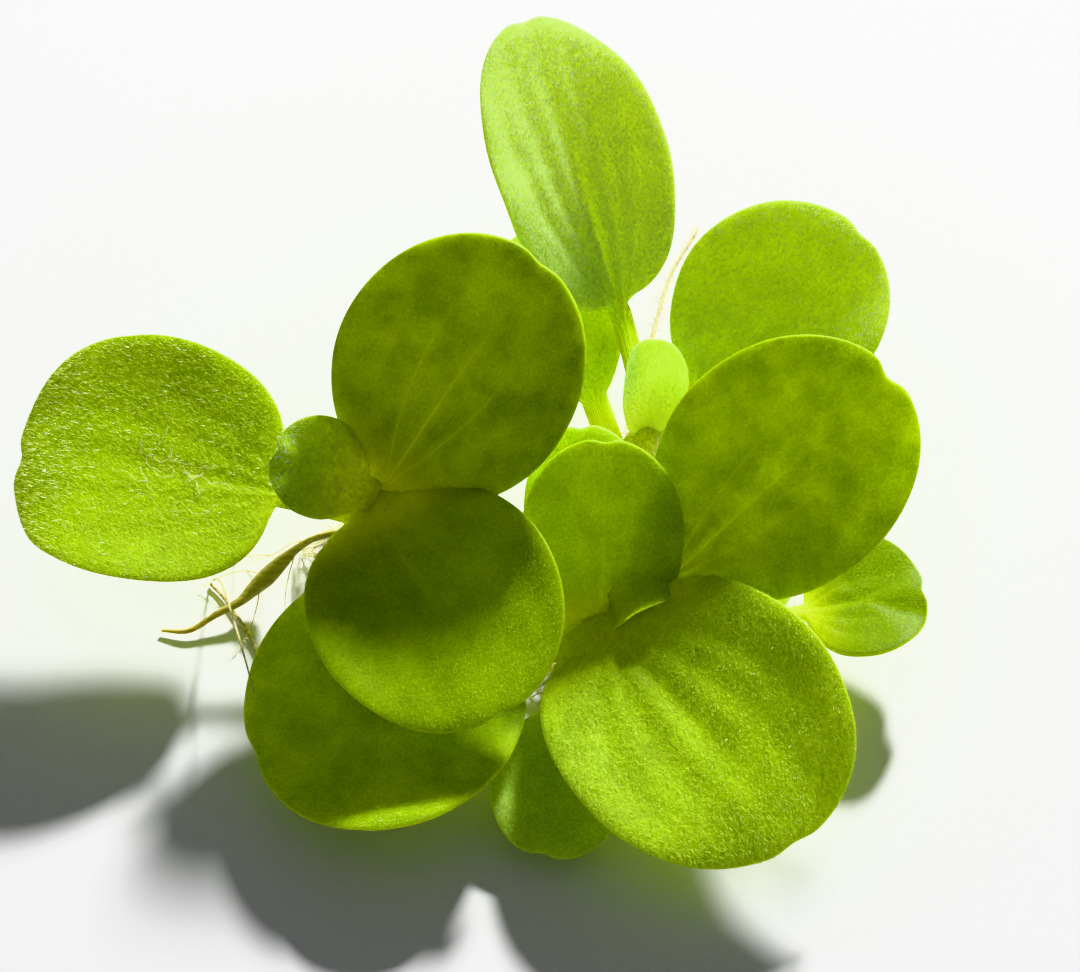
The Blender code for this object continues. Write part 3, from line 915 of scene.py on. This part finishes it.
RUNNERS = {
    "runner_left": (
        (-1.5, 0.9, 7.4, 2.2), (-2.9, 1.7, 6.3, 1.9), (-5.2, 3.6, 5.9, 1.5), (-8, 5.5, 5.6, 1.4),
        (-11.6, 7.8, 5.6, 1.4), (-15, 9.8, 6.0, 1.35), (-17.8, 11.3, 7.3, 1.45), (-20.5, 12.6, 9.0, 1.5),
        (-24.8, 14.2, 11.4, 1.8), (-26.8, 14.7, 12.8, 2.2)),
    "runner_back": (
        (0.9, 1.5, 7.2, 2.2), (1.8, 2.7, 6.0, 1.8), (2.6, 5.4, 5.7, 1.5), (3.6, 8, 5.4, 1.4),
        (4.1, 12, 5.1, 1.35), (4.4, 16, 5.0, 1.35), (4.8, 20, 5.2, 1.4), (5.0, 23, 5.6, 1.5),
        (5.7, 28.0, 6.6, 1.8), (6.0, 30.2, 7.9, 2.2)),
    "runner_right": (
        (1.7, 0.1, 7.2, 2.0), (3.2, 0.2, 6.0, 1.6), (5.5, 0.3, 5.3, 1.3), (8, 0.8, 4.8, 1.15),
        (11, 1.7, 4.7, 1.1), (14, 2.8, 4.8, 1.15), (19.1, 4.8, 5.4, 1.5), (20.6, 4.7, 6.2, 1.8)),
}
for name, route in RUNNERS.items():
    place_piece(name + "_stem", tubes([soft_line(route, 8)], 5), runner_flesh, "runner", name)

OLD_RUNNER = (
    (-29, 14.2, 12.4, 1.6), (-30.7, 13.2, 11.2, 1.1), (-32.4, 13.7, 10.9, 0.85), (-34, 13.9, 10.2, 0.85),
    (-35.8, 14.1, 8.9, 0.9), (-37.6, 14.0, 7.2, 1.15), (-39.5, 13.3, 5.4, 1.95), (-41.2, 12.3, 4.0, 2.3),
    (-42.9, 11.0, 3.1, 1.8), (-44.4, 9.6, 2.6, 1.2), (-47.4, 8.0, 1.9, 0.85), (-50.6, 6.3, 1.0, 0.7),
    (-54.0, 6.6, 0.6, 0.4))
place_piece("old_runner_stem", tubes([soft_line(OLD_RUNNER, 8)], 6), dry_runner, "old_runner", "old_runner")
print("runners made:", len(RUNNERS) + 1)

# %% [markdown]
# ## Roots
# Under water the roots hang like fine feathers: a thread-thin main root with short side roots all round
# it. Out of the water they fall together into flat, matted tufts under the crowns. Strand by strand is the
# only way that looks right, so each mat is a few dozen thin tubes that leave the crown's foot and come
# down to the ground, each with side roots grown from the same spikes as the hairs.

# %% Root mats
MATS = {
    "left": Plan(thickness=9.7, lobes=7, turn=10, strands=110),
    "front": Plan(thickness=4.9, lobes=6, turn=40, strands=90),
    "back": Plan(thickness=4.9, lobes=7, turn=0, strands=90),
    "right": Plan(thickness=3.7, lobes=5, turn=25, strands=50),
}
MAT_SLOPE = ((0.0, 0.3, 0.38, 0.72, 1.0), (1.0, 0.98, 0.85, 0.42, 0.13))
MAT_LOBE = 0.11
MAT_SWELL = 0.08
ROOT_POINTS = 12
ROOT_THICK = (0.42, 0.14)
GROUND = 0.12
SIDE_ROOT_THICK = 0.07
SIDE_ROOT_LEAN = 0.7


def mat_strands(crown, mat, dice):
    """Lines from the foot of a crown down and out to the edge of its mat."""
    share = np.linspace(0.0, 1.0, ROOT_POINTS)
    lines = []
    for number in range(mat.strands):
        angle = 2 * math.pi * (number + dice.uniform(-0.4, 0.4)) / mat.strands
        bulge = MAT_LOBE * math.cos(mat.lobes * angle) + MAT_SWELL * math.cos(3 * angle + mat.lobes)
        far = crown.spread * (1 + bulge) * dice.uniform(0.72, 1.0)
        near = crown.radius * dice.uniform(0.1, 0.7)
        out = near + (far - near) * share ** dice.uniform(0.8, 1.3)
        depth = dice.uniform(0.35, 1.0)
        rise = np.interp(out / crown.spread, *MAT_SLOPE) * mat.thickness * depth
        rise = np.maximum(rise, GROUND + 0.1) + 0.12 * np.sin(share * dice.uniform(6, 14) + number)
        drift = np.cumsum(dice.normal(size=ROOT_POINTS)) * 0.045
        turns = angle + math.radians(mat.turn) + drift + dice.uniform(-0.3, 0.3) * share
        thick = np.interp(share, (0, 1), ROOT_THICK) * dice.uniform(0.7, 1.1)
        lines.append(np.column_stack([
            crown.x + out * np.cos(turns), crown.y + out * np.sin(turns),
            np.maximum(rise, GROUND + thick / 2), thick]))
    return lines


def side_roots(lines, per_mm, longest, dice):
    """A mesh of short side roots all along these lines, none of them below the ground."""
    spots, ways = [], []
    for line in lines:
        fine = soft_line(line, 6)[:, :3]
        steps = np.diff(fine, axis=0)
        run = np.concatenate([[0.0], np.cumsum(np.linalg.norm(steps, axis=1))])
        at = dice.uniform(0.04, 1.0, max(int(run[-1] * per_mm), 1)) * run[-1]
        spots.append(np.column_stack([np.interp(at, run, fine[:, i]) for i in range(3)]))
        ways.append(steps[np.clip(np.searchsorted(run, at) - 1, 0, len(steps) - 1)])
    spots, ways = np.vstack(spots), np.vstack(ways)
    ways /= np.maximum(np.linalg.norm(ways, axis=1), 1e-6)[:, None]
    heading = unit(dice.normal(size=spots.shape) + SIDE_ROOT_LEAN * ways)
    lengths = longest * dice.uniform(0.3, 1.0, len(spots))
    heading[:, 2] = np.clip(heading[:, 2], np.minimum((GROUND - spots[:, 2]) / lengths, 0.0), 0.98)
    level = np.sqrt(1 - heading[:, 2] ** 2) / np.linalg.norm(heading[:, :2], axis=1)
    heading[:, :2] *= level[:, None]
    return plant(spots, heading, lengths, SIDE_ROOT_THICK)


print("main roots in the mats:", sum(mat.strands for mat in MATS.values()))

# %% [markdown]
# A root is a pale straw thread, clear at its rim like a wet fibre. The side roots are thinner and paler.

# %% Root materials
root_straw = stem_tissue(
    "straw_root", dark="9c8c54", light="dcd4a0", stretch=(1.0, 1.0, 1.0), scatter_mm=0.4, roughness=0.5)
root_pale = stem_tissue(
    "pale_side_root", dark="d0c894", light="f0ecd0", stretch=(1.0, 1.0, 1.0), scatter_mm=0.2, roughness=0.5)

for number, (place, mat) in enumerate(MATS.items()):
    dice = np.random.default_rng(300 + number)
    lines = mat_strands(CROWNS[place], mat, dice)
    name = "root_mat_" + place
    place_piece(name + "_strands", tubes(lines, 1), root_straw, "root", name)
    feathers = place_piece(name + "_side_roots", side_roots(lines, 11, 1.7, dice), root_pale, "root")
    print(name, "side roots:", len(feathers.data.polygons) // 4)

# %% [markdown]
# Two roots trail well clear of the mats, one at the back and one on the left. Each is one long thread that
# lies on the ground, feathered with side roots. Some loose threads hang at the old runner too, and a few
# short curling fibres have dried on the outer left leaf. Each follows the leaf's own skin, a little above.

# %% Long roots and loose threads
LONG_ROOTS = {
    "long_root_left": dict(per_mm=2.5, longest=2.2, route=(
        (-48.6, 14.0, 0.45, 0.42), (-46.6, 11.6, 0.45, 0.5), (-43.4, 6.4, 0.45, 0.55),
        (-41.4, 2.4, 0.45, 0.5), (-39.6, -2.0, 0.45, 0.3))),
    "long_root_back": dict(per_mm=9, longest=3.4, route=(
        (6.6, 40.95, 0.6, 0.65), (7.0, 47, 0.5, 0.7), (8.0, 55, 0.5, 0.6), (9.4, 62, 0.5, 0.5),
        (11.6, 70, 0.45, 0.4), (15.4, 78, 0.45, 0.25))),
}
for number, (name, root) in enumerate(LONG_ROOTS.items()):
    dice = np.random.default_rng(400 + number)
    line = soft_line(root["route"], 8)
    place_piece(name + "_thread", tubes([line], 3), root_straw, "root", name)
    feathers = side_roots([line], root["per_mm"], root["longest"], dice)
    place_piece(name + "_side_roots", feathers, root_pale, "root")

THREADS = (
    ((-35, 14, 9.4, 0.16), (-38, 16.2, 6, 0.14), (-40.4, 17, 3, 0.12), (-44, 17.4, 0.5, 0.08)),
    ((-37.4, 14.0, 7.2, 0.18), (-38.4, 11.4, 4.6, 0.14), (-38.8, 9.2, 2.2, 0.12), (-38.0, 6.6, 0.4, 0.08)),
    ((-41.0, 12.2, 4.0, 0.2), (-43.6, 13.8, 3.4, 0.15), (-46.4, 14.2, 2.2, 0.12), (-49.8, 13.4, 0.5, 0.08)),
    ((-42.0, 11.6, 3.4, 0.2), (-42.2, 9.2, 2.6, 0.15), (-43.2, 6.0, 1.0, 0.12), (-45.0, 3.0, 0.4, 0.08)),
    ((-48.4, 14.6, 0.6, 0.26), (-46.9, 12.2, 3.2, 0.28), (-44.7, 4.9, 6.4, 0.28), (-42.4, -3.0, 9.0, 0.24),
     (-40.7, -8.8, 9.4, 0.14)),
    ((-39.4, 13.4, 5.6, 0.18), (-40.8, 15.0, 5.0, 0.14), (-43.2, 16.0, 3.6, 0.1), (-45.6, 18.4, 0.6, 0.08)),
)
dice = np.random.default_rng(500)
threads = [soft_line(route, 6) for route in THREADS]
place_piece("old_runner_rootlets", tubes(threads, 1), root_straw, "root")
place_piece("old_runner_side_roots", side_roots(threads, 3, 1.1, dice), root_pale, "root")
print("loose threads:", len(threads))

LINT = Plan(
    leaf="left_leaf_outer", x=-52.0, y=18.2, spread=(3.0, 2.1), count=16, steps=9, step=0.55, above=0.3,
    lift=0.25, bend=0.25, stray=0.3, thick=0.06)


def lint_lines(plan, dice):
    """Short curling fibres that lie on a leaf's upper face."""
    mesh, facts = leaf_mesh(LEAVES[plan.leaf], np.random.default_rng(LEAF_SEED))
    skin = rows_of(mesh.vertices, "co")[facts["upper"] > 0.5] / MM
    bpy.data.meshes.remove(mesh)
    lines = []
    for _ in range(plan.count):
        place = np.array([plan.x, plan.y]) + dice.normal(size=2) * plan.spread
        turn = dice.uniform(0, 2 * math.pi)
        bend = dice.normal() * plan.bend
        line = []
        for _ in range(plan.steps):
            nearest = skin[np.argmin(((skin[:, :2] - place) ** 2).sum(axis=1))]
            lift = plan.above + plan.lift * abs(dice.normal())
            line.append((place[0], place[1], nearest[2] + lift, plan.thick))
            turn += bend + plan.stray * dice.normal()
            place = place + plan.step * np.array([math.cos(turn), math.sin(turn)])
        lines.append(soft_line(line, 3))
    return lines


lint = lint_lines(LINT, np.random.default_rng(510))
place_piece("left_leaf_outer_fibres", tubes(lint, 1), root_pale, "root")
print("fibres on the leaf:", len(lint))

# %% [markdown]
# ## Floor, light and camera
# The clump lies on a plain pale sheet. The key light is a soft window low behind it on the right, which
# sends the light through the leaves and lights the hairs from behind. A weak sky fills the shadows. The
# camera looks down at the clump at 50 degrees through a long lens. A neutral view transform keeps the
# greens as they are and rolls off only the brightest parts, so glowing leaves don't burn out.

# %% Floor, light and camera
MIDDLE = Vector((-7.16, 22.1, 10.0)) * MM
CAMERA_AWAY = 310
CAMERA_RISE = 50
CAMERA_LENS = 82.67
CAMERA_SENSOR = 36
KEY = Plan(turn=68, rise=33, away=600, across=70, watts=10.2)
SKY = 0.19
SHEET_HALF = 2.0


def around(middle, turn, rise, away):
    """A place at so many millimetres from the middle, at a turn and a rise in degrees."""
    turn, rise = math.radians(turn), math.radians(rise)
    way = Vector((math.cos(rise) * math.cos(turn), math.cos(rise) * math.sin(turn), math.sin(rise)))
    return middle + way * away * MM


def aim(name, data, place):
    """Put a light or camera at a place, looking at the middle of the clump."""
    item = show(name, data)
    item.location = place
    item.rotation_euler = (MIDDLE - place).to_track_quat("-Z", "Y").to_euler()
    return item


def matte_paper():
    """Pale paper with hardly any shine, so only the shadows show on it."""
    material, tree, surface = new_material("matte_paper")
    shader = add_node(tree, "BsdfPrincipled", {
        "Base Color": "ececec", "Roughness": 0.9, "Specular IOR Level": 0.1})
    tree.links.new(shader.outputs["BSDF"], surface)
    return material


sheet = bmesh.new()
bmesh.ops.create_grid(sheet, x_segments=1, y_segments=1, size=SHEET_HALF)
floor_mesh = from_sketch("floor", sheet)
floor_mesh.materials.append(matte_paper())
floor = show("floor", floor_mesh)

key = bpy.data.lights.new("key", "AREA")
key.shape = "DISK"
key.size = KEY.across * MM
key.energy = KEY.watts
aim("key", key, around(MIDDLE, KEY.turn, KEY.rise, KEY.away))

sky = bpy.data.worlds.new("sky")
sky.use_nodes = True
backdrop = sky.node_tree.nodes["Background"]
backdrop.inputs["Color"].default_value = linear("f2f4f6")
backdrop.inputs["Strength"].default_value = SKY
scene.world = sky

camera = bpy.data.cameras.new("camera")
camera.lens = CAMERA_LENS
camera.sensor_width = CAMERA_SENSOR
scene.camera = aim("camera", camera, around(MIDDLE, -90, CAMERA_RISE, CAMERA_AWAY))
scene.view_settings.view_transform = "Khronos PBR Neutral"
print("camera at (mm):", [round(c / MM, 1) for c in scene.camera.location])
